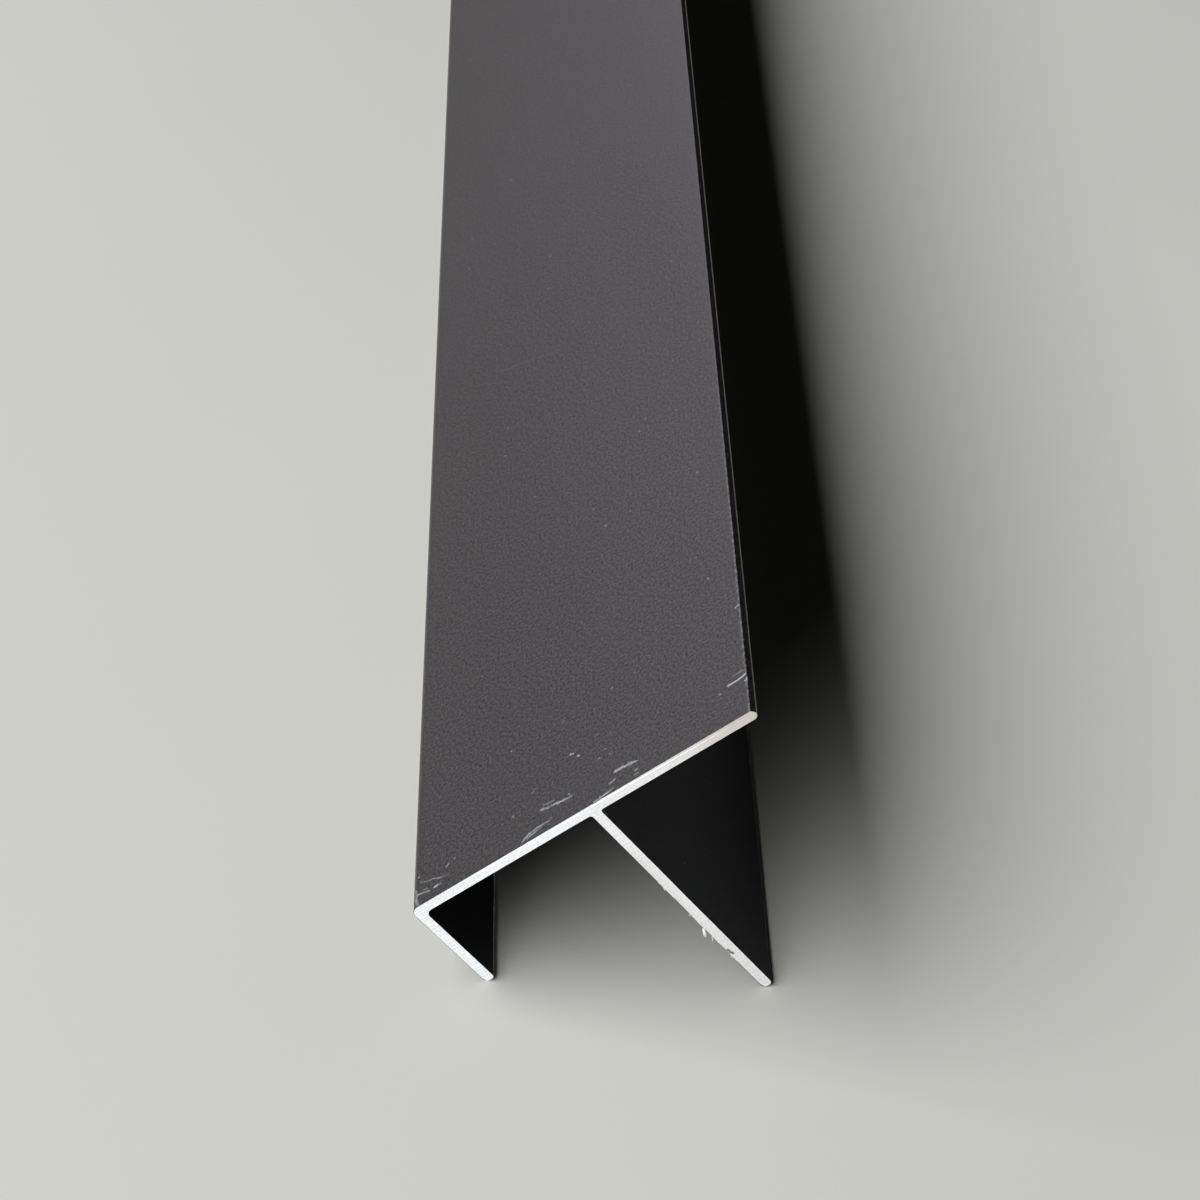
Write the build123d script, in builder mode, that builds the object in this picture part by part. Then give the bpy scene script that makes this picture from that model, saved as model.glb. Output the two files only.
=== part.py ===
# Edge-trim extrusion: a wide cover plate with a short flange turned down along one
# long edge and a deeper web standing further in, all pressed as one piece of aluminium.
# A board pushes in between flange and web, and the plate runs on past the web as a
# cover strip. The bar is powder coated, then sawn square to length.
#
# Frame: +Y runs along the bar, +Z is up. The bar stands as it does on a bench, on the
# tips of its two unequal legs, so the plate slopes down towards the flange (-X side).
# The origin is the middle of the bounding box, on the surface that the bar stands on.

import os
from math import atan2, degrees

from build123d import *

# Bar, in millimetres
bar_length = 1000.0

# Section: depths are taken from the plate's outer face to the leg's tip
plate_width = 58.0
flange_depth = 17.0
web_depth = 42.0
channel_width = 28.5
wall = 1.6

# Die radii
outer_corner_radius = 1.2
inner_corner_radius = 0.9
root_radius = 0.4
tip_rounding = 0.4  # share of the wall: 0.5 would be a full round

# Worked out from the sizes above
web_near_face = wall + channel_width
web_far_face = web_near_face + wall
tip_radius = tip_rounding * wall
# A level surface touches both tips, which have the same rounding, so the plate leans
# by the difference of the two depths over the distance between the two legs.
stand_angle = degrees(atan2(web_depth - flange_depth, web_near_face))


def wall_strip(width, depth):
    """A rectangle hanging from the plate's outer face."""
    return Rectangle(width, depth, align=(Align.MIN, Align.MAX))


def nearest_corners(sketch, *points):
    """The sketch's corner nearest to each of the points."""
    return [sketch.vertices().sort_by_distance(point)[0] for point in points]


# Section, drawn with the plate level: X along the plate from the flange's outer face,
# Y up from the plate's outer face, the legs pointing down
with BuildSketch() as section:
    wall_strip(plate_width, wall)
    wall_strip(wall, flange_depth)
    with Locations((web_near_face, 0)):
        wall_strip(wall, web_depth)

    fillet(nearest_corners(section, (0, 0)), outer_corner_radius)
    fillet(nearest_corners(section, (wall, -wall)), inner_corner_radius)
    fillet(
        nearest_corners(section, (web_near_face, -wall), (web_far_face, -wall)),
        root_radius,
    )

    plate_tip = nearest_corners(section, (plate_width, 0), (plate_width, -wall))
    flange_tip = nearest_corners(section, (0, -flange_depth), (wall, -flange_depth))
    web_tip = nearest_corners(
        section, (web_near_face, -web_depth), (web_far_face, -web_depth)
    )
    fillet(plate_tip + flange_tip + web_tip, tip_radius)

# Where the section's own corner lies once the bar stands on its legs
standing_box = section.sketch.rotate(Axis.Z, stand_angle).bounding_box()
standing_plane = Plane(
    origin=(-standing_box.center().X, 0, -standing_box.min.Y),
    x_dir=Vector(1, 0, 0).rotate(Axis.Y, -stand_angle),
    z_dir=(0, -1, 0),
)

# The bar, pressed both ways from its middle and cut square at both ends
with BuildPart() as edge_profile:
    with BuildSketch(standing_plane):
        add(section.sketch)
    extrude(amount=bar_length / 2, both=True)

edge_profile.part.label = "edge_profile"

os.makedirs("parts", exist_ok=True)
export_step(edge_profile.part, "parts/edge_profile.step")

bar_box = edge_profile.part.bounding_box()
print(f"section area {section.sketch.area:.1f} mm2, stands at {stand_angle:.2f} degrees")
print(f"box {bar_box.size.X:.2f} x {bar_box.size.Y:.1f} x {bar_box.size.Z:.2f} mm")
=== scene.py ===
import math

import bmesh
import bpy
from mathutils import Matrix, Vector, noise


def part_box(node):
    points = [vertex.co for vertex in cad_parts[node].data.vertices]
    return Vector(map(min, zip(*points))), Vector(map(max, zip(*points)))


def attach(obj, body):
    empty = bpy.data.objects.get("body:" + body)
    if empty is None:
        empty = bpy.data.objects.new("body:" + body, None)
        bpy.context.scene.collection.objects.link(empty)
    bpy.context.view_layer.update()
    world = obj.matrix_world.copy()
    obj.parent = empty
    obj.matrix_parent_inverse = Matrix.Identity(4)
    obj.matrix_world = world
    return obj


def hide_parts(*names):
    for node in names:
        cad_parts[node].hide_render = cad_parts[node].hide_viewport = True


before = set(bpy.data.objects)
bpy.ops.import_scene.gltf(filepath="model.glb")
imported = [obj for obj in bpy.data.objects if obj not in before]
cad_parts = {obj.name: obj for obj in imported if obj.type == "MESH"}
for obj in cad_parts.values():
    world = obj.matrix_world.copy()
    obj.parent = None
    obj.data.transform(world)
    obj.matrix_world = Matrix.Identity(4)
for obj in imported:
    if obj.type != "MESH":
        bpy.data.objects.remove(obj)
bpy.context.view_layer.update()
barLow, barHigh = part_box("edge_profile")
mm = 0.001


# The camera stands in front of the near end and looks down along the bar

cameraSettings = {
    "place": (-20.17 * mm, -813.88 * mm, 298.56 * mm),
    "turnDegrees": (53.573, -2.794, -1.227),
    "lens": 91.78,
    "sensor": 36.0,
    "clip": (0.01, 50.0),
}


def makeCamera(settings):
    lens = bpy.data.cameras.new("photoCamera")
    lens.lens = settings["lens"]
    lens.sensor_width = settings["sensor"]
    lens.clip_start, lens.clip_end = settings["clip"]
    camera = bpy.data.objects.new("photoCamera", lens)
    camera.location = settings["place"]
    camera.rotation_euler = [math.radians(a) for a in settings["turnDegrees"]]
    bpy.context.scene.collection.objects.link(camera)
    bpy.context.scene.camera = camera


makeCamera(cameraSettings)
print("camera ready")


# Section: u runs along the plate from the flange's outer face, depth down from the
# plate's outer face, as the die was cut

section = {
    "plateWidth": 58.0 * mm,
    "flangeDepth": 17.0 * mm,
    "webDepth": 42.0 * mm,
    "channelWidth": 28.5 * mm,
    "wall": 1.6 * mm,
    "outerCorner": 1.2 * mm,
    "innerCorner": 0.9 * mm,
    "rootCorner": 0.4 * mm,
    "tipCorner": 0.64 * mm,
    "arrisIn": 0.54 * mm,     # where the plate's face ends short of the tip, and the
    "arrisDown": 0.57 * mm,   # depth of the sharp bevel beside it
    "arrisRadius": 0.05 * mm,
    "bevelIn": 0.07 * mm,     # the bevel's foot, and how round the edge is there
    "bevelRadius": 0.07 * mm,
    "undersideIn": 0.02 * mm,  # the rounding below it
    "undersideRadius": 0.88 * mm,
    "arcSteps": 7,            # in a quarter turn
    "leastArcSteps": 3,
    "pointSpacing": 0.35 * mm,
}

webNear = section["wall"] + section["channelWidth"]
webFar = webNear + section["wall"]
leanAngle = math.atan2(section["webDepth"] - section["flangeDepth"], webNear)


def leaned(u, depth):  # a section point turned as the bar stands, not yet placed
    x = u * math.cos(leanAngle) + depth * math.sin(leanAngle)
    z = u * math.sin(leanAngle) - depth * math.cos(leanAngle)
    return x, z


def sectionCorners(s):  # u, depth, radius
    wall, width = s["wall"], s["plateWidth"]
    return [
        (0.0, 0.0, s["outerCorner"]),
        (width - s["arrisIn"], 0.0, s["arrisRadius"]),
        (width - s["bevelIn"], s["arrisDown"], s["bevelRadius"]),
        (width - s["undersideIn"], wall, s["undersideRadius"]),
        (webFar, wall, s["rootCorner"]),
        (webFar, s["webDepth"], s["tipCorner"]),
        (webNear, s["webDepth"], s["tipCorner"]),
        (webNear, wall, s["rootCorner"]),
        (wall, wall, s["innerCorner"]),
        (wall, s["flangeDepth"], s["tipCorner"]),
        (0.0, s["flangeDepth"], s["tipCorner"]),
    ]


def sectionOutline(s):
    # Points round the section, each with its outward normal
    corners = [(Vector((u, d)), r) for u, d, r in sectionCorners(s)]
    points = []
    count = len(corners)
    arcs = []
    for i, (corner, radius) in enumerate(corners):
        back = (corners[i - 1][0] - corner).normalized()
        onward = (corners[(i + 1) % count][0] - corner).normalized()
        halfAngle = back.angle(onward) / 2
        convex = back.x * onward.y - back.y * onward.x < 0
        centre = corner + (back + onward).normalized() * radius / math.sin(halfAngle)
        first, last = (
            corner + way * radius / math.tan(halfAngle) - centre for way in (back, onward)
        )
        turn = math.pi - 2 * halfAngle
        steps = max(s["leastArcSteps"], round(s["arcSteps"] * turn / (math.pi / 2)))
        arc = []
        for step in range(steps + 1):
            spoke = first.slerp(last, step / steps).normalized()
            arc.append((centre + spoke * radius, spoke if convex else -spoke))
        arcs.append(arc)
    for arc, following in zip(arcs, arcs[1:] + arcs[:1]):
        points += arc
        start, end = arc[-1][0], following[0][0]
        pieces = max(1, math.ceil((end - start).length / s["pointSpacing"]))
        points += [(start.lerp(end, step / pieces), arc[-1][1]) for step in range(1, pieces)]
    return points


outline = sectionOutline(section)
leanedX, leanedZ = zip(*(leaned(p.x, p.y) for p, _ in outline))
cornerX = (barLow.x + barHigh.x) / 2 - (min(leanedX) + max(leanedX)) / 2
cornerZ = barLow.z - min(leanedZ)


def placed(u, depth, y):  # section point at y in the frame
    x, z = leaned(u, depth)
    return Vector((cornerX + x, y, cornerZ + z))


print("section outline has", len(outline), "points")


# Shader groups. They put out masks, values and heights; the shaders stay in the materials.
# A noise's scale is in features per metre.

tearScale = 2600.0  # the finest tear in any rub


def newGroup(name, inputs, outputs):
    group = bpy.data.node_groups.new(name, "ShaderNodeTree")
    for label, kind, value in inputs:
        socket = group.interface.new_socket(label, in_out="INPUT", socket_type=kind)
        if value is not None:
            socket.default_value = value
    for label, kind in outputs:
        group.interface.new_socket(label, in_out="OUTPUT", socket_type=kind)
    start = group.nodes.new("NodeGroupInput")
    end = group.nodes.new("NodeGroupOutput")
    return group, start.outputs, end.inputs


class Wires:
    # Short names for the nodes that this file uses again and again
    def __init__(self, tree):
        self.tree = tree

    def node(self, kind, **settings):
        made = self.tree.nodes.new(kind)
        for key, value in settings.items():
            setattr(made, key, value)
        return made

    def feed(self, socket, value):
        if isinstance(value, bpy.types.NodeSocket):
            self.tree.links.new(value, socket)
        elif value is not None:
            socket.default_value = value

    def math(self, operation, a, b=None, c=None, clamp=False):
        made = self.node("ShaderNodeMath", operation=operation, use_clamp=clamp)
        for socket, value in zip(made.inputs, (a, b, c)):
            self.feed(socket, value)
        return made.outputs[0]

    def vector(self, operation, a, b=None, scale=None):
        made = self.node("ShaderNodeVectorMath", operation=operation)
        self.feed(made.inputs[0], a)
        if b is not None:
            self.feed(made.inputs[1], b)
        if scale is not None:
            self.feed(made.inputs["Scale"], scale)
        isNumber = operation in ("LENGTH", "DOT_PRODUCT", "DISTANCE")
        return made.outputs["Value" if isNumber else "Vector"]

    def noise(self, vector, scale, detail=2.0, roughness=0.5, dimensions="3D"):
        made = self.node("ShaderNodeTexNoise", noise_dimensions=dimensions)
        if dimensions == "1D":
            self.feed(made.inputs["W"], vector)
        else:
            self.feed(made.inputs["Vector"], vector)
        self.feed(made.inputs["Scale"], scale)
        self.feed(made.inputs["Detail"], detail)
        self.feed(made.inputs["Roughness"], roughness)
        return made.outputs["Fac"]

    def ramp(self, value, low, high, toLow=0.0, toHigh=1.0, smooth=True):
        steepness = "SMOOTHSTEP" if smooth else "LINEAR"
        made = self.node("ShaderNodeMapRange", interpolation_type=steepness)
        for label, given in (("Value", value), ("From Min", low), ("From Max", high),
                             ("To Min", toLow), ("To Max", toHigh)):
            self.feed(made.inputs[label], given)
        return made.outputs["Result"]

    def mixColour(self, share, a, b):
        made = self.node("ShaderNodeMix", data_type="RGBA", clamp_factor=True)
        self.feed(made.inputs["Factor"], share)
        self.feed(made.inputs[6], a)  # 6, 7 and 2 are the colour sockets
        self.feed(made.inputs[7], b)
        return made.outputs[2]

    def group(self, tree, **values):
        made = self.node("ShaderNodeGroup", node_tree=tree)
        for label, value in values.items():
            self.feed(made.inputs[label], value)
        return made.outputs


def barPlaceGroup():
    # Where a point lies on the bar: along the plate, in from the near cut, below the face
    group, _, result = newGroup("barPlace", [], [("Place", "NodeSocketVector")])
    w = Wires(group)
    position = w.node("ShaderNodeTexCoord").outputs["Object"]
    local = w.vector("SUBTRACT", position, (cornerX, barLow.y, cornerZ))
    cosLean, sinLean = math.cos(leanAngle), math.sin(leanAngle)
    combined = w.node("ShaderNodeCombineXYZ")
    w.feed(combined.inputs[0], w.vector("DOT_PRODUCT", local, (cosLean, 0.0, sinLean)))
    w.feed(combined.inputs[1], w.vector("DOT_PRODUCT", local, (0.0, 1.0, 0.0)))
    w.feed(combined.inputs[2], w.vector("DOT_PRODUCT", local, (sinLean, 0.0, -cosLean)))
    w.feed(result["Place"], combined.outputs[0])
    return group


def coatGrainGroup():
    # The fine texture of a structured powder coat: cured specks over a soft orange peel
    darkest, lightest = 0.65, 0.31  # the noise's values there
    peelShare = 0.6  # beside the specks, in the height
    inputs = [
        ("Place", "NodeSocketVector", None),
        ("Speck Size", "NodeSocketFloat", 0.44 * mm),
        ("Peel Size", "NodeSocketFloat", 2.2 * mm),
    ]
    outputs = [("Speck", "NodeSocketFloat"), ("Height", "NodeSocketFloat")]
    group, given, result = newGroup("coatGrain", inputs, outputs)
    w = Wires(group)
    speckScale = w.math("DIVIDE", 1.0, given["Speck Size"])
    speck = w.noise(given["Place"], speckScale, detail=3.5, roughness=0.75)
    peelScale = w.math("DIVIDE", 1.0, given["Peel Size"])
    peel = w.noise(given["Place"], peelScale, detail=1.0)
    w.feed(result["Speck"], w.ramp(speck, darkest, lightest, smooth=False))
    w.feed(result["Height"], w.math("MULTIPLY_ADD", peel, peelShare, speck))
    return group


def rubStreakGroup():
    # A rubbed streak between two places, torn where the rag is high
    outside, inside = 1.15, 0.55  # where it starts and is full, in half widths
    inputs = [
        ("Place", "NodeSocketVector", None),
        ("From", "NodeSocketVector", None),
        ("To", "NodeSocketVector", None),
        ("Width", "NodeSocketFloat", 0.3 * mm),
        ("Rag", "NodeSocketFloat", 0.5),
        ("Taper", "NodeSocketFloat", 0.0),
    ]
    group, given, result = newGroup("rubStreak", inputs, [("Mask", "NodeSocketFloat")])
    w = Wires(group)
    run = w.vector("SUBTRACT", given["To"], given["From"])
    offset = w.vector("SUBTRACT", given["Place"], given["From"])
    passed = w.vector("DOT_PRODUCT", offset, run)
    whole = w.vector("DOT_PRODUCT", run, run)
    along = w.math("DIVIDE", passed, whole, clamp=True)
    apart = w.vector("LENGTH", w.vector("SUBTRACT", offset, w.vector("SCALE", run, scale=along)))
    halfWidth = w.math("MULTIPLY", given["Width"], 0.5)
    lost = w.math("MULTIPLY", along, given["Taper"])
    tapered = w.math("MULTIPLY", halfWidth, w.math("MULTIPLY_ADD", lost, -1.0, 1.0))
    reach = w.math("MULTIPLY_ADD", w.math("SUBTRACT", given["Rag"], 0.5), tapered, apart)
    w.feed(result["Mask"], w.ramp(w.math("DIVIDE", reach, tapered), outside, inside))
    return group


def rubStrandsGroup():
    # The ragged, brushed look of a rub: strands that run one way, over a finer tear. Body
    # is what is left of the rub between its strands.
    strandTurn = math.radians(-8)
    bodyScale = 0.52  # against the strands
    leastBody, fullBody = 0.40, 1.0
    strandShare, tearShare = 0.40, 0.60
    fullRag = 1.3
    inputs = [
        ("Place", "NodeSocketVector", None),
        ("Strand Length", "NodeSocketFloat", 0.95 * mm),
        ("Strand Width", "NodeSocketFloat", 0.12 * mm),
    ]
    outputs = [("Rag", "NodeSocketFloat"), ("Body", "NodeSocketFloat")]
    group, given, result = newGroup("rubStrands", inputs, outputs)
    w = Wires(group)
    turned = w.node("ShaderNodeVectorRotate", rotation_type="Z_AXIS")
    w.feed(turned.inputs["Vector"], given["Place"])
    turned.inputs["Angle"].default_value = strandTurn
    size = w.node("ShaderNodeCombineXYZ")
    for socket, label in zip(size.inputs, ("Strand Length", "Strand Width", "Strand Width")):
        w.feed(socket, given[label])
    brushed = w.vector("DIVIDE", turned.outputs[0], size.outputs[0])
    strand = w.noise(brushed, 1.0)
    between = w.noise(brushed, bodyScale, roughness=0.6)
    w.feed(result["Body"], w.ramp(between, 0.38, 0.60, leastBody, fullBody))
    tear = w.noise(given["Place"], tearScale, detail=3.0, roughness=0.65)
    both = w.math("MULTIPLY_ADD", strand, strandShare, w.math("MULTIPLY", tear, tearShare))
    w.feed(result["Rag"], w.ramp(both, 0.34, 0.66, 0.0, fullRag, smooth=False))
    return group


def arrisLineGroup():
    # A light line along a sharp edge of the coat, in short dashes that thin out
    # away from the near cut
    swayScale, swayWidth = 1300.0, 0.36 * mm
    outside, inside = 1.1, 0.3  # where the line starts and is full, in widths
    dashScale, leastDash = 1100.0, 0.10
    fadeFrom, fadeTo, leftAtEnd = 0.3, 1.6, 0.15  # the places in shares of the reach
    inputs = [
        ("Place", "NodeSocketVector", None),
        ("Edge", "NodeSocketFloat", 57.3 * mm),
        ("Width", "NodeSocketFloat", 0.20 * mm),
        ("Reach", "NodeSocketFloat", 75 * mm),
    ]
    group, given, result = newGroup("arrisLine", inputs, [("Mask", "NodeSocketFloat")])
    w = Wires(group)
    parts = w.node("ShaderNodeSeparateXYZ")
    w.feed(parts.inputs[0], given["Place"])
    sway = w.noise(parts.outputs[1], swayScale, dimensions="1D")
    sway = w.math("MULTIPLY", w.math("SUBTRACT", sway, 0.5), swayWidth)
    apart = w.math("SUBTRACT", parts.outputs[0], given["Edge"])
    apart = w.math("ABSOLUTE", w.math("ADD", apart, sway))
    line = w.ramp(w.math("DIVIDE", apart, given["Width"]), outside, inside)
    dash = w.noise(parts.outputs[1], dashScale, roughness=0.6, dimensions="1D")
    dash = w.ramp(dash, 0.38, 0.62, leastDash, 1.0)
    reached = w.math("DIVIDE", parts.outputs[1], given["Reach"])
    fade = w.ramp(reached, fadeFrom, fadeTo, 1.0, leftAtEnd)
    w.feed(result["Mask"], w.math("MULTIPLY", w.math("MULTIPLY", line, dash), fade))
    return group


def dustFleckGroup():
    # Sparse light specks: pinholes and dust cured into the coat. The place is flattened
    # so that one pattern covers the plate and both legs.
    leastSize = 0.3  # against the largest speck
    outside, inside = 1.2, 0.5  # where a speck starts and is full, in sizes
    inputs = [
        ("Place", "NodeSocketVector", None),
        ("Spacing", "NodeSocketFloat", 9 * mm),
        ("Size", "NodeSocketFloat", 0.26 * mm),
    ]
    group, given, result = newGroup("dustFleck", inputs, [("Mask", "NodeSocketFloat")])
    w = Wires(group)
    parts = w.node("ShaderNodeSeparateXYZ")
    w.feed(parts.inputs[0], given["Place"])
    flat = w.node("ShaderNodeCombineXYZ")
    w.feed(flat.inputs[0], w.math("ADD", parts.outputs[0], parts.outputs[2]))
    w.feed(flat.inputs[1], parts.outputs[1])
    cells = w.node("ShaderNodeTexVoronoi", voronoi_dimensions="2D", feature="F1")
    w.feed(cells.inputs["Vector"], flat.outputs[0])
    w.feed(cells.inputs["Scale"], w.math("DIVIDE", 1.0, given["Spacing"]))
    chance = w.node("ShaderNodeSeparateColor")
    w.feed(chance.inputs[0], cells.outputs["Color"])
    apart = w.math("MULTIPLY", cells.outputs["Distance"], given["Spacing"])
    drawn = w.ramp(chance.outputs[0], 0.2, 1.0, leastSize, 1.0, smooth=False)
    size = w.math("MULTIPLY", given["Size"], drawn)
    spot = w.ramp(w.math("DIVIDE", apart, size), outside, inside)
    w.feed(result["Mask"], w.math("MULTIPLY", spot, chance.outputs[1]))
    return group


def sawMarksGroup():
    # Fine arcs left by the teeth of a circular saw, and the smear between them
    smearScale, smearShare = 900.0, 0.35  # the share is in the height
    speckScale = 3400.0
    toothShare, speckShare = 0.45, 0.55  # in the grit
    inputs = [
        ("Place", "NodeSocketVector", None),
        ("Blade Centre", "NodeSocketVector", (24 * mm, 0.0, 170 * mm)),
        ("Tooth Spacing", "NodeSocketFloat", 0.22 * mm),
    ]
    outputs = [(label, "NodeSocketFloat") for label in ("Height", "Smear", "Grit")]
    group, given, result = newGroup("sawMarks", inputs, outputs)
    w = Wires(group)
    radius = w.vector("DISTANCE", given["Place"], given["Blade Centre"])
    toothPlace = w.math("DIVIDE", radius, given["Tooth Spacing"])
    teeth = w.noise(toothPlace, 1.0, dimensions="1D")
    smear = w.noise(given["Place"], smearScale, detail=3.0, roughness=0.6)
    w.feed(result["Height"], w.math("MULTIPLY_ADD", smear, smearShare, teeth))
    w.feed(result["Smear"], smear)
    speck = w.noise(given["Place"], speckScale)
    grit = w.math("MULTIPLY_ADD", teeth, toothShare, w.math("MULTIPLY", speck, speckShare))
    w.feed(result["Grit"], w.ramp(grit, 0.36, 0.62, smooth=False))
    return group


barPlace = barPlaceGroup()
coatGrain = coatGrainGroup()
rubStreak = rubStreakGroup()
rubStrands = rubStrandsGroup()
arrisLine = arrisLineGroup()
dustFleck = dustFleckGroup()
sawMarks = sawMarksGroup()
print("shader groups ready")


# Powder coat. Marks are places on the plate's face in millimetres: along the plate, in
# from the near cut.

coatLook = {
    "darkTone": (0.0020, 0.0018, 0.0018, 1.0),
    "lightTone": (0.0525, 0.0480, 0.0475, 1.0),
    # painted shade tint: the faces below the plate get a bluish tone, as they look in shade
    "recessShadeTone": (0.0195, 0.0200, 0.0240, 1.0),
    "rimShadeTone": (0.0050, 0.0046, 0.0046, 1.0),  # painted shade on the bevelled edge at the plate's tip
    "rimShadeFrom": 57.46 * mm,
    "rimShadeStep": 0.06 * mm,
    "rimShadeShare": 0.60,
    "rubbedTone": (0.28, 0.28, 0.275, 1.0),
    "roughness": 0.30,
    "rubRoughness": 0.3,      # what a full rub adds to it
    "recessRoughness": 0.54,  # below the plate the powder lies thinner and drier
    "recessShadeShare": 0.7,       # of its tone
    "specular": 0.29,
    "speckSize": 0.44 * mm,
    "peelSize": 2.4 * mm,
    "grainDepth": 0.018 * mm,
    "fleckStrength": 0.45,
    "arrisStrength": 0.26,
    "tipWearAndHighlightTone": (0.70, 0.69, 0.68, 1.0),  # the tips that it stands on are painted light: partly wear, partly a painted highlight for light slipping under them
    "webTipWearAndHighlight": 0.36,
    "flangeTipWearAndHighlight": 1.0,
    "tipBand": (0.40 * mm, 0.20 * mm),  # it starts and is full this far above a tip
    "tipSway": 0.4 * mm,      # how much the light band's edge sways along the bar
    "tipSwayShare": (0.45, 0.05),  # of it, where the noise is low and high
    "tipSwayScale": 260.0,
    "flangeOnly": (10 * mm, 5 * mm),  # nearer to the bend than this lies the flange
}

# from, to, width, strength, taper: the taper is the share of the width lost on the way
nearEndRubs = [
    # a double stroke that curls back
    ((19.6, 0.70), (20.7, 1.42), 0.50, 0.80, -0.1),
    ((20.7, 1.42), (22.2, 1.80), 0.48, 0.80, 0.0),
    ((22.2, 1.80), (24.2, 1.78), 0.40, 0.70, 0.2),
    ((24.2, 1.78), (24.6, 2.20), 0.28, 0.50, 0.3),
    ((20.4, 0.70), (21.5, 1.05), 0.38, 0.75, 0.0),
    ((21.5, 1.05), (22.8, 1.45), 0.36, 0.72, 0.2),
    # a group further in
    ((22.8, 5.05), (24.1, 4.60), 0.54, 0.62, 0.0),
    ((23.2, 5.85), (23.9, 5.55), 0.32, 0.40, 0.0),
    ((23.9, 5.55), (25.0, 5.42), 0.30, 0.60, 0.0),
    ((24.6, 4.62), (26.7, 4.20), 0.52, 0.78, 0.0),
    ((26.7, 4.20), (28.2, 4.12), 0.46, 0.80, 0.3),
    ((27.6, 4.95), (27.9, 4.40), 0.28, 0.40, 0.0),
    # over the web's root, out of the cut
    ((31.8, 0.05), (32.9, 0.33), 0.66, 0.80, 0.1),
    ((32.9, 0.33), (33.9, 0.45), 0.48, 0.75, 0.2),
    ((33.9, 0.45), (35.1, 0.80), 0.34, 0.62, 0.4),
    ((34.4, 2.10), (35.3, 2.32), 0.44, 0.70, 0.0),
    # the broad one, pointed at its right
    ((35.4, 3.84), (36.5, 3.90), 0.55, 0.80, -0.5),
    ((36.5, 3.86), (38.2, 3.62), 0.84, 0.90, 0.1),
    ((38.2, 3.62), (39.2, 3.42), 0.66, 0.80, 0.8),
    ((38.6, 1.75), (39.1, 1.78), 0.34, 0.55, 0.0),
    ((38.5, 0.92), (39.2, 0.85), 0.28, 0.45, 0.0),
    # dots
    ((28.0, 13.03), (28.5, 12.85), 0.44, 1.30, 0.0),
    ((29.3, 11.85), (29.4, 11.75), 0.50, 1.60, 0.0),
    ((33.7, 9.80), (33.9, 9.75), 0.38, 0.32, 0.0),
    ((32.7, 8.70), (32.8, 8.55), 0.34, 0.34, 0.0),
    ((34.6, 8.20), (34.9, 8.10), 0.32, 0.28, 0.0),
    ((21.3, 9.70), (21.9, 10.20), 0.28, 0.32, 0.0),
    ((19.9, 7.80), (20.1, 7.70), 0.36, 0.34, 0.0),
    ((17.6, 21.50), (17.7, 21.40), 0.32, 0.50, 0.0),
    # at the flange's bend
    ((1.3, 2.40), (2.0, 2.30), 0.46, 0.70, 0.0),
    ((2.0, 2.30), (3.4, 1.93), 0.40, 0.80, 0.2),
    ((2.4, 2.80), (2.9, 2.72), 0.36, 0.50, 0.0),
    ((4.4, 2.04), (4.6, 2.06), 0.62, 0.85, 0.0),
    ((4.6, 2.07), (5.3, 2.05), 0.42, 0.70, 0.2),
    ((6.3, 4.85), (6.7, 5.28), 0.36, 0.72, 0.0),
    ((1.3, 6.10), (1.4, 6.00), 0.38, 0.60, 0.0),
    ((3.1, 9.85), (3.2, 9.80), 0.38, 0.28, 0.0),
    ((0.9, 3.50), (1.1, 2.60), 0.42, 0.50, 0.0),
    ((1.1, 2.60), (1.1, 1.20), 0.62, 0.55, 0.0),
    ((1.1, 1.20), (1.4, 0.30), 0.60, 0.65, 0.0),
    # at the cover strip's tip
    ((54.4, 7.72), (56.1, 7.75), 0.48, 1.00, -0.1),
    ((56.1, 7.75), (57.2, 8.10), 0.50, 1.00, 0.1),
    ((55.5, 9.05), (56.7, 9.25), 0.42, 0.55, 0.2),
    ((57.0, 6.80), (57.4, 6.65), 0.34, 0.75, 0.0),
    ((57.4, 6.65), (57.4, 7.10), 0.36, 0.85, 0.0),
    ((56.7, 23.35), (57.2, 23.65), 0.40, 0.75, 0.0),
]
longScratches = [
    ((1.7, 4.75), (2.8, 4.20), 0.24, 0.42, 0.0),
    ((2.8, 4.20), (4.1, 3.96), 0.26, 0.50, 0.0),
    ((4.1, 3.96), (5.3, 3.30), 0.28, 0.50, 0.0),
    ((5.3, 3.30), (6.7, 3.15), 0.24, 0.38, 0.3),
    ((15.0, 124.5), (28.0, 119.0), 0.30, 0.10, 0.3),
]
nearZone = 26 * mm  # in from the near cut, all that carries the near end's rubs


def rubMask(w, place, rag, marks):
    # The strongest of the marks at each point
    total = None
    for start, end, width, strength, taper in marks:
        mask = w.group(
            rubStreak,
            Place=place,
            From=(start[0] * mm, start[1] * mm, 0.0),
            To=(end[0] * mm, end[1] * mm, 0.0),
            Width=width * mm,
            Rag=rag,
            Taper=taper,
        )["Mask"]
        scaled = w.math("MULTIPLY", mask, strength)
        total = scaled if total is None else w.math("MAXIMUM", total, scaled)
    return total


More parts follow.
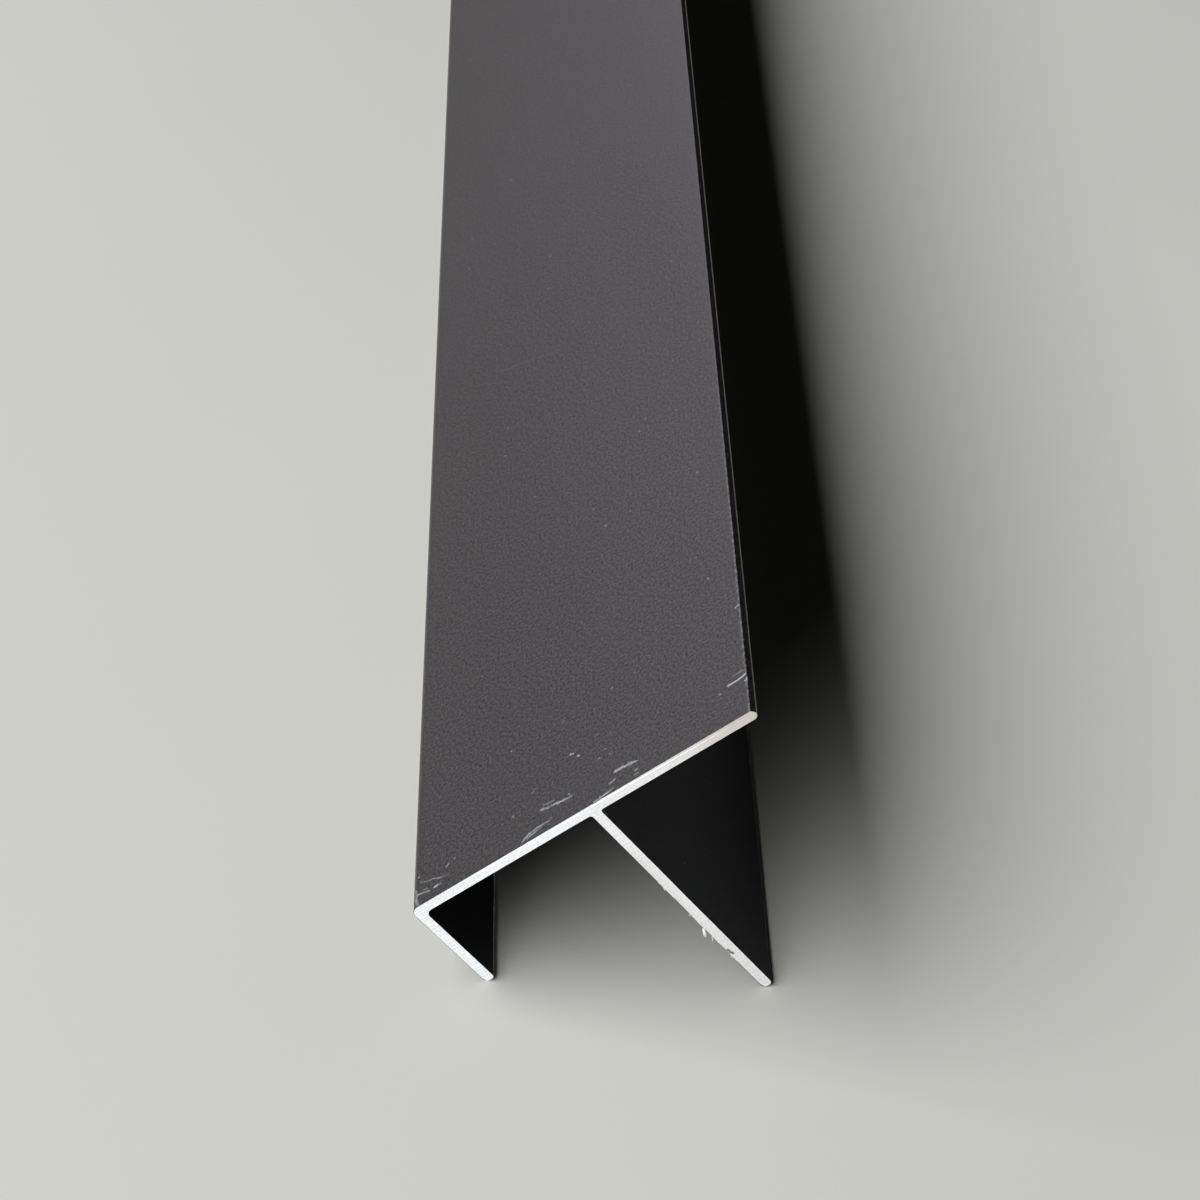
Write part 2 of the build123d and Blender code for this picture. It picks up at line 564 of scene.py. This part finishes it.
def coatMaterial(name, marks, look):
    material = bpy.data.materials.new(name)
    material.use_nodes = True
    w = Wires(material.node_tree)
    shader = material.node_tree.nodes["Principled BSDF"]
    shader.inputs["Specular IOR Level"].default_value = look["specular"]
    place = w.group(barPlace)["Place"]
    grain = w.group(
        coatGrain,
        **{"Place": place, "Speck Size": look["speckSize"], "Peel Size": look["peelSize"]},
    )
    fleck = w.group(dustFleck, Place=place)["Mask"]
    strands = w.group(rubStrands, Place=place)
    rub = w.math("MULTIPLY", rubMask(w, place, strands["Rag"], marks), strands["Body"])
    arris = w.group(arrisLine, Place=place)["Mask"]
    light = w.math("MAXIMUM", rub, w.math("MULTIPLY", arris, look["arrisStrength"]))
    light = w.math("MAXIMUM", light, w.math("MULTIPLY", fleck, look["fleckStrength"]))
    parts = w.node("ShaderNodeSeparateXYZ")
    w.feed(parts.inputs[0], place)
    along, inward, depth = parts.outputs
    ridge = w.noise(inward, look["tipSwayScale"], detail=3.0, dimensions="1D")
    ridge = w.ramp(ridge, 0.3, 0.7, *look["tipSwayShare"])
    edge = w.math("MULTIPLY_ADD", ridge, look["tipSway"], depth)
    onFlange = w.ramp(along, *look["flangeOnly"])
    onFlange = w.math("MULTIPLY", onFlange, look["flangeTipWearAndHighlight"])
    # the legs' tips are painted light: partly wear, partly a painted highlight
    webTipBand = [section["webDepth"] - above for above in look["tipBand"]]
    flangeTipBand = [section["flangeDepth"] - above for above in look["tipBand"]]
    webTip = w.ramp(edge, *webTipBand, 0.0, look["webTipWearAndHighlight"])
    flangeTip = w.ramp(edge, *flangeTipBand)
    tips = w.math("MAXIMUM", webTip, w.math("MULTIPLY", flangeTip, onFlange))
    recess = w.ramp(depth, section["wall"], 2 * section["wall"])
    # painted shade: the plate's bevelled tip edge is darkened where it reflects the dark room
    rimShade = w.ramp(along, look["rimShadeFrom"], look["rimShadeFrom"] + look["rimShadeStep"])
    base = w.mixColour(grain["Speck"], look["darkTone"], look["lightTone"])
    # painted shade tint on the faces below the plate
    base = w.mixColour(w.math("MULTIPLY", recess, look["recessShadeShare"]), base, look["recessShadeTone"])
    base = w.mixColour(w.math("MULTIPLY", rimShade, look["rimShadeShare"]), base, look["rimShadeTone"])
    base = w.mixColour(tips, base, look["tipWearAndHighlightTone"])
    w.feed(shader.inputs["Base Color"], w.mixColour(light, base, look["rubbedTone"]))
    dry = w.ramp(recess, 0.0, 1.0, look["roughness"], look["recessRoughness"], smooth=False)
    w.feed(shader.inputs["Roughness"], w.math("MULTIPLY_ADD", light, look["rubRoughness"], dry))
    bump = w.node("ShaderNodeBump")
    w.feed(bump.inputs["Strength"], 1.0)
    w.feed(bump.inputs["Distance"], look["grainDepth"])
    w.feed(bump.inputs["Height"], grain["Height"])
    w.feed(shader.inputs["Normal"], bump.outputs[0])
    return material


coat = coatMaterial("powderCoat", longScratches, coatLook)
coatNear = coatMaterial("powderCoatNearEnd", longScratches + nearEndRubs, coatLook)
print("powder coat ready")


# Bare sawn metal

sawnLook = {
    "tone": (0.97, 0.98, 0.985, 1.0),
    "gritTone": (0.72, 0.735, 0.745, 1.0),
    # painted sheen: the sawn face is painted darker and warmer toward the plate's tip, where its
    # sheen falls off and it reflects the floor
    "paintedSheen": (0.60, 0.555, 0.51, 1.0),
    "faintShare": 0.32,  # share of the painted sheen that its first stretch reaches
    "paintedSheenPlaces": (20 * mm, 40 * mm, 58 * mm),  # both stretches, along the plate
    "chipTone": (0.13, 0.13, 0.13, 1.0),
    "bladeCentre": (48 * mm, 0.0, -870 * mm),  # far off, so the teeth ran about along the plate
    # painted sheen: the web's sawn face is painted darker, for its weaker sheen
    "webPaintedSheen": 0.38,
    "webPaintedSheenDepth": (2 * mm, 14 * mm),
    "webPaintedSheenAlong": (10 * mm, 25 * mm),
    "webEdgeHighlight": (0.14 * mm, 0.34 * mm),  # in from the web's far face it stays bright: a painted highlight along the edge
    "roughness": (0.62, 0.74),
    "markDepth": 0.012 * mm,
    # from and to in u and depth, width, all in millimetres, and strength
    "chip": ((30.42, 32.95), (30.54, 33.85), 0.56, 0.90),
    "chipRag": 1.4,
}


def sawnMaterial(look):
    material = bpy.data.materials.new("sawnAluminium")
    material.use_nodes = True
    w = Wires(material.node_tree)
    shader = material.node_tree.nodes["Principled BSDF"]
    shader.inputs["Metallic"].default_value = 1.0
    place = w.group(barPlace)["Place"]
    marks = w.group(sawMarks, **{"Place": place, "Blade Centre": look["bladeCentre"]})
    start, end, width, strength = look["chip"]
    tear = w.noise(place, tearScale)
    chip = w.group(
        rubStreak,
        Place=place,
        From=(start[0] * mm, 0.0, start[1] * mm),
        To=(end[0] * mm, 0.0, end[1] * mm),
        Width=width * mm,
        Rag=w.ramp(tear, 0.25, 0.75, 0.0, look["chipRag"], smooth=False),
    )["Mask"]
    parts = w.node("ShaderNodeSeparateXYZ")
    w.feed(parts.inputs[0], place)
    along, _, depth = parts.outputs
    # painted sheen: darker and warmer toward the plate's tip
    first, middle, last = look["paintedSheenPlaces"]
    faint = w.ramp(along, first, middle, 0.0, look["faintShare"])
    paintedSheen = w.math("ADD", faint, w.ramp(along, middle, last, 0.0, 1.0 - look["faintShare"]))
    # painted sheen on the web, with a painted highlight left along its far edge
    below = w.ramp(depth, *look["webPaintedSheenDepth"])
    onWeb = w.math("MULTIPLY", below, w.ramp(along, *look["webPaintedSheenAlong"]))
    offEdgeHighlight = w.ramp(along, *(webFar - inward for inward in look["webEdgeHighlight"]))
    onWeb = w.math("MULTIPLY", onWeb, offEdgeHighlight)
    paintedSheen = w.math("MAXIMUM", paintedSheen, w.math("MULTIPLY", onWeb, look["webPaintedSheen"]))
    clean = w.mixColour(marks["Grit"], look["gritTone"], look["tone"])
    tone = w.mixColour(paintedSheen, clean, look["paintedSheen"])
    tone = w.mixColour(w.math("MULTIPLY", chip, strength), tone, look["chipTone"])
    w.feed(shader.inputs["Base Color"], tone)
    rough = w.ramp(marks["Smear"], 0.3, 0.7, *look["roughness"], smooth=False)
    w.feed(shader.inputs["Roughness"], rough)
    bump = w.node("ShaderNodeBump")
    w.feed(bump.inputs["Strength"], 1.0)
    w.feed(bump.inputs["Distance"], look["markDepth"])
    w.feed(bump.inputs["Height"], marks["Height"])
    w.feed(shader.inputs["Normal"], bump.outputs[0])
    return material


sawn = sawnMaterial(sawnLook)
print("sawn metal ready")


# The bar: the outline drawn out along its length, with the saw's lip round both cuts

cutLook = {
    "coatThickness": 0.06 * mm,
    "arris": 0.02 * mm,       # rounding of the coat where the saw broke through
    "lipHeight": 0.012 * mm,
    "lipWidth": 0.10 * mm,
    "lipSide": (0.75, 0.66),  # the saw left more lip on the faces that look this way
    "lipFacing": 0.7,         # the share that this gives, beside the lip's own noise
    "lipNoise": 0.6,
    "lipNoiseScale": 900,     # in features per metre
    "ragSize": 0.5 * mm,
    "ragOut": 0.015 * mm,
    "waveSize": 0.8 * mm,
    "seeds": {"near": 0.0, "far": 40.0},
    "waveSeed": 9.0,          # on top of the end's own
    "lipSeed": 7.0,
    "sharpDegrees": 32,       # edges that turn by more stay sharp
    "normalWeight": 90,
    # where the edge is pushed out, or notched where negative, and how wavy it is there:
    # end, u, depth, reach, out, waves
    "zones": [
        ("near", webNear, 17.0 * mm, 0.30 * mm, 0.09 * mm, 0.0),
        ("near", webNear, 18.2 * mm, 0.30 * mm, 0.12 * mm, 0.0),
        ("near", webNear, 19.0 * mm, 0.60 * mm, 0.04 * mm, 0.03 * mm),
        ("near", webNear, 20.2 * mm, 0.25 * mm, 0.05 * mm, 0.0),
        ("near", webNear, 26.8 * mm, 2.4 * mm, 0.07 * mm, 0.06 * mm),
        ("near", webNear, 30.9 * mm, 0.9 * mm, 0.07 * mm, 0.04 * mm),
        ("near", webNear, 34.1 * mm, 0.5 * mm, 0.09 * mm, 0.03 * mm),
        ("near", webNear, 35.2 * mm, 0.3 * mm, 0.07 * mm, 0.0),
        ("near", webFar, 21.8 * mm, 3.0 * mm, -0.06 * mm, 0.02 * mm),
        ("near", webFar, 23.8 * mm, 0.3 * mm, -0.05 * mm, 0.0),
        ("near", webFar, 24.7 * mm, 0.3 * mm, -0.04 * mm, 0.0),
        ("near", 32.0 * mm, 0.0, 0.35 * mm, -0.22 * mm, 0.0),
        ("far", webFar, 12.0 * mm, 4.0 * mm, 0.10 * mm, 0.08 * mm),
        ("far", 44.0 * mm, section["wall"], 5.0 * mm, 0.08 * mm, 0.05 * mm),
    ],
    # where the coat is thicker at the tips: u, depth, reach, extra thickness
    "thickCoat": [
        (0.18 * mm, 16.75 * mm, 0.36 * mm, 0.13 * mm),
        (30.28 * mm, 41.65 * mm, 0.40 * mm, 0.13 * mm),
    ],
}


def facingAt(u, depth):  # which way the outline looks nearest to a place
    return min(outline, key=lambda p: (p[0] - Vector((u, depth))).length)[1]


def noiseAt(point, size, seed):
    return noise.noise(Vector((point.x / size, point.y / size, seed)))


def edgeShift(end, point, normal, zones, look):
    # How far the sawn edge stands out at a point of the outline
    seed = look["seeds"][end]
    wave = noiseAt(point, look["waveSize"], seed + look["waveSeed"])
    shift = look["ragOut"] * noiseAt(point, look["ragSize"], seed)
    for (zoneEnd, u, depth, reach, out, waves), facing in zones:
        apart = (point - Vector((u, depth))).length
        if zoneEnd == end and apart < 3 * reach and normal.dot(facing) > 0.5:
            shift += math.exp(-((apart / reach) ** 2)) * (out + waves * wave)
    return shift


def coatWall(point, look):
    # How thick the coat is at a point of the outline
    thickness = look["coatThickness"]
    for u, depth, reach, extra in look["thickCoat"]:
        thickness += extra * math.exp(-(((point - Vector((u, depth))).length / reach) ** 2))
    return thickness


def cutRings(end, look):
    # From the coated side to the middle of the sawn face: in from the cut, inset, share
    # of the coat's thickness, share of the edge's shift, and whether the band that ends
    # here is metal
    zone = [(nearZone, 0.0, 0.0, 0.0, False)] if end == "near" else []
    return zone + [
        (0.6 * mm, 0.0, 0.0, 0.0, False),
        (0.15 * mm, 0.0, 0.0, 0.25, False),
        (look["arris"], 0.0, 0.0, 0.6, False),
        (0.0, look["arris"], 0.0, 0.8, False),
        (0.0, 0.0, 1.0, 1.0, False),
        (-look["lipHeight"], look["lipWidth"] * 0.4, 1.0, 1.1, True),
        (0.0, look["lipWidth"], 1.0, 0.6, True),
    ]


def makeBar(look):
    mesh = bpy.data.meshes.new("edgeTrimBar")
    bm = bmesh.new()
    zones = [(zone, facingAt(zone[1], zone[2])) for zone in look["zones"]]
    slots = {"far": 0, "near": 1, "metal": 2}  # far is the plain coat, all along the bar too

    def ring(end, inward, inset, coatShare, shiftShare, _):
        atCut, direction = (barLow.y, 1) if end == "near" else (barHigh.y, -1)
        made = []
        for point, normal in outline:
            shift = edgeShift(end, point, normal, zones, look) * shiftShare
            moved = point + normal * (shift - inset - coatShare * coatWall(point, look))
            lift = 0.0
            if inward < 0:  # the lip, which stands out of the cut
                scale = look["lipNoiseScale"]
                spot = Vector((point.x * scale, point.y * scale, look["lipSeed"]))
                facing = look["lipFacing"] * normal.dot(Vector(look["lipSide"]))
                lift = (facing + look["lipNoise"] * noise.noise(spot)) * inward
            sunk = max(0.0, -shift)  # a notch also bites into the face
            y = atCut + direction * (inward + lift + sunk)
            made.append(bm.verts.new(placed(moved.x, moved.y, y)))
        return made

    def band(first, second, slot):
        for i in range(len(first)):
            n = (i + 1) % len(first)
            face = bm.faces.new((first[i], first[n], second[n], second[i]))
            face.material_index = slot
            face.smooth = True

    rings = {end: [ring(end, *row) for row in cutRings(end, look)] for end in ("near", "far")}
    for end, made in rings.items():
        for i, row in enumerate(cutRings(end, look)):
            if i > 0:
                band(made[i - 1], made[i], slots["metal" if row[4] else end])
        cap = bm.faces.new(made[-1])
        cap.material_index = slots["metal"]
        cap.normal_update()
        cap.smooth = False
        bmesh.ops.triangulate(bm, faces=[cap], quad_method="BEAUTY", ngon_method="EAR_CLIP")
    band(rings["near"][0], rings["far"][0], slots["far"])
    bmesh.ops.recalc_face_normals(bm, faces=bm.faces)
    for edge in bm.edges:
        if len(edge.link_faces) == 2:
            edge.smooth = edge.calc_face_angle() < math.radians(look["sharpDegrees"])
    bm.to_mesh(mesh)
    bm.free()
    for material in (coat, coatNear, sawn):  # in the order of the slots
        mesh.materials.append(material)
    bar = bpy.data.objects.new("edgeTrimBar", mesh)
    bpy.context.scene.collection.objects.link(bar)
    weighted = bar.modifiers.new("weightedNormal", "WEIGHTED_NORMAL")
    weighted.keep_sharp = True
    weighted.weight = look["normalWeight"]
    return bar


bar = makeBar(cutLook)
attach(bar, "root")
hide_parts("edge_profile")
print("bar has", len(bar.data.polygons), "faces")


# Burrs: slivers of metal that the saw left hanging on the edges

burrLook = {
    "sides": 6,
    "steps": 8,
    "bendAt": 0.45,    # where it curls, between root and tip
    "tipOut": 0.4,     # share of the standing out that is left at the tip
    "flatness": 0.45,  # thickness against width
    "swell": (0.42, 0.85, 1.05),  # width at the root, its growth, and the cut-off at the tip
    # end, root u and depth, tip u and depth, how far it stands out of the cut, width,
    # all in millimetres
    "slivers": [
        ("near", (30.02, 27.50), (29.36, 29.05), 0.35, 0.60),
        ("near", (30.10, 29.50), (29.64, 30.36), 0.14, 0.18),
        ("near", (30.05, 34.10), (29.90, 34.60), 0.12, 0.14),
        ("near", (30.05, 18.30), (29.85, 18.60), 0.08, 0.12),
        ("near", (30.05, 24.10), (29.88, 24.60), 0.10, 0.12),
        ("far", (31.75, 12.00), (32.40, 12.90), 0.30, 0.22),
        ("far", (44.00, 1.70), (44.60, 2.30), 0.25, 0.20),
    ],
}


def addSliver(bm, end, root, tip, out, width, look):
    # A curled splinter that widens from its root and closes at its tip
    atCut, direction = (barLow.y, -1) if end == "near" else (barHigh.y, 1)
    start = placed(root[0] * mm, root[1] * mm, atCut)
    finish = placed(tip[0] * mm, tip[1] * mm, atCut + direction * out * mm * look["tipOut"])
    lean = Vector((0.0, direction * out * mm, 0.0))
    bend = start.lerp(finish, look["bendAt"]) + lean
    atRoot, growth, cutOff = look["swell"]
    rings = []
    for step in range(look["steps"] + 1):
        t = step / look["steps"]
        spot = start * (1 - t) ** 2 + bend * 2 * t * (1 - t) + finish * t ** 2
        heading = ((bend - start) * (1 - t) + (finish - bend) * t).normalized()
        side = heading.cross(Vector((0.0, 1.0, 0.0))).normalized()
        up = side.cross(heading)
        reach = width * mm * 0.5 * (atRoot + growth * t) * (cutOff - t ** 3)
        turns = [2 * math.pi * k / look["sides"] for k in range(look["sides"])]
        rings.append([
            bm.verts.new(
                spot + side * reach * math.cos(a) + up * reach * look["flatness"] * math.sin(a)
            )
            for a in turns
        ])
    for first, second in zip(rings, rings[1:]):
        for k in range(look["sides"]):
            n = (k + 1) % look["sides"]
            bm.faces.new((first[k], first[n], second[n], second[k]))
    bm.faces.new(rings[0])
    bm.faces.new(rings[-1])


def makeBurrs(look):
    mesh = bpy.data.meshes.new("sawBurrs")
    bm = bmesh.new()
    for sliver in look["slivers"]:
        addSliver(bm, *sliver, look)
    bmesh.ops.recalc_face_normals(bm, faces=bm.faces)
    bm.to_mesh(mesh)
    bm.free()
    mesh.materials.append(sawn)
    burrs = bpy.data.objects.new("sawBurrs", mesh)
    bpy.context.scene.collection.objects.link(burrs)
    return burrs


burrs = makeBurrs(burrLook)
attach(burrs, "root")
print("burrs ready")


# Studio: a plain pale floor, one wide soft box on the flange's side, a low strip in front
# of the near cut, and three small lights that lift the other sides

coolTone = (0.96, 0.99, 1.01)
studio = {
    "floorSize": 14.0,
    "floorTone": (0.459, 0.443, 0.401, 1.0),
    "floorDarker": 0.96,  # its clouds against its tone
    "floorClouds": 9.0,   # in features per metre
    "floorRoughness": 0.75,
    "floorFades": (0.60, 1.30),  # the floor runs out into the backdrop between these
    # place, aimed at, width and height, power, tone
    "lights": {
        "softBox": ((-1.76, -2.30, 1.92), (0.0, -2.30, 0.0), (5.8, 1.80), 255.0,
                    (0.95, 0.985, 1.03)),
        "frontFill": ((0.70, -2.55, 0.035), (0.0, -0.50, 0.02), (1.5, 0.05), 22.3, coolTone),
        "sideGrid": ((1.70, 0.42, 0.85), (0.0, 0.42, 0.02), (0.8, 0.45), 1.3, coolTone),
        "highCard": ((0.79, 0.0, 2.05), (0.0, 0.0, 0.02), (1.6, 0.70), 7.0, coolTone),
        "lowCard": ((-1.25, 1.50, 0.62), (0.0, -0.35, 0.03), (2.4, 0.50), 6.2,
                    (1.00, 0.96, 1.02)),
    },
    "fullSpread": 180.0,  # degrees
    "spread": {"sideGrid": 16.0},  # degrees, where a light has a grid on it
    # these show the side away from the soft box and leave the floor's shadow deep
    "barOnly": ("sideGrid", "highCard"),
    "roomTone": (0.92, 0.96, 1.0, 1.0),
    "roomStrength": 0.0125,
    "backdropTone": (0.60, 0.60, 0.585, 1.0),
    # a photograph's tone: its shadows are a little deeper
    "toneCurve": [(0.012, 0.005), (0.032, 0.021), (0.09, 0.084), (0.20, 0.20)],
}


def makeFloor(settings):
    half = settings["floorSize"] / 2
    mesh = bpy.data.meshes.new("studioFloor")
    corners = [(-half, -half, 0), (half, -half, 0), (half, half, 0), (-half, half, 0)]
    mesh.from_pydata(corners, [], [(0, 1, 2, 3)])
    material = bpy.data.materials.new("studioFloor")
    material.use_nodes = True
    w = Wires(material.node_tree)
    shader = material.node_tree.nodes["Principled BSDF"]
    position = w.node("ShaderNodeTexCoord").outputs["Object"]
    cloud = w.noise(position, settings["floorClouds"])
    tone = settings["floorTone"]
    darker = tuple(c * settings["floorDarker"] for c in tone[:3]) + (1.0,)
    w.feed(shader.inputs["Base Color"], w.mixColour(cloud, darker, tone))
    shader.inputs["Roughness"].default_value = settings["floorRoughness"]
    sweep = w.node("ShaderNodeEmission")
    w.feed(sweep.inputs["Color"], settings["backdropTone"])
    away = w.ramp(w.vector("LENGTH", position), *settings["floorFades"])
    blend = w.node("ShaderNodeMixShader")
    toCamera = w.node("ShaderNodeLightPath").outputs["Is Camera Ray"]
    w.feed(blend.inputs["Fac"], w.math("MULTIPLY", away, toCamera))
    w.feed(blend.inputs[1], shader.outputs[0])
    w.feed(blend.inputs[2], sweep.outputs[0])
    w.feed(material.node_tree.nodes["Material Output"].inputs["Surface"], blend.outputs[0])
    material.cycles.emission_sampling = "NONE"  # the sweep lights nothing
    mesh.materials.append(material)
    floor = bpy.data.objects.new("studioFloor", mesh)
    floor.location.z = barLow.z
    bpy.context.scene.collection.objects.link(floor)


def makeLights(settings, pieces):
    barOnly = bpy.data.collections.new("barOnly")
    for piece in pieces:
        barOnly.objects.link(piece)
    for name, (place, aim, size, power, tone) in settings["lights"].items():
        light = bpy.data.lights.new(name, "AREA")
        light.shape = "RECTANGLE"
        light.size, light.size_y = size
        light.energy = power
        light.color = tone
        light.spread = math.radians(settings["spread"].get(name, settings["fullSpread"]))
        holder = bpy.data.objects.new(name, light)
        holder.location = place
        holder.rotation_euler = (Vector(aim) - Vector(place)).to_track_quat("-Z", "Y").to_euler()
        holder.visible_camera = False
        if name in settings["barOnly"]:
            holder.light_linking.receiver_collection = barOnly
        bpy.context.scene.collection.objects.link(holder)


def makeRoom(settings):
    world = bpy.data.worlds.new("studioRoom")
    bpy.context.scene.world = world
    world.use_nodes = True
    w = Wires(world.node_tree)
    background = world.node_tree.nodes["Background"]
    toCamera = w.node("ShaderNodeLightPath").outputs["Is Camera Ray"]
    tone = w.mixColour(toCamera, settings["roomTone"], settings["backdropTone"])
    w.feed(background.inputs["Color"], tone)
    strength = w.ramp(toCamera, 0.0, 1.0, settings["roomStrength"], 1.0, smooth=False)
    w.feed(background.inputs["Strength"], strength)


def setTone(settings):
    view = bpy.context.scene.view_settings
    view.view_transform = "Standard"
    view.use_curve_mapping = True
    for place, value in settings["toneCurve"]:
        view.curve_mapping.curves[3].points.new(place, value)
    view.curve_mapping.update()


makeFloor(studio)
makeLights(studio, [bar, burrs])
makeRoom(studio)
setTone(studio)
print("studio ready")
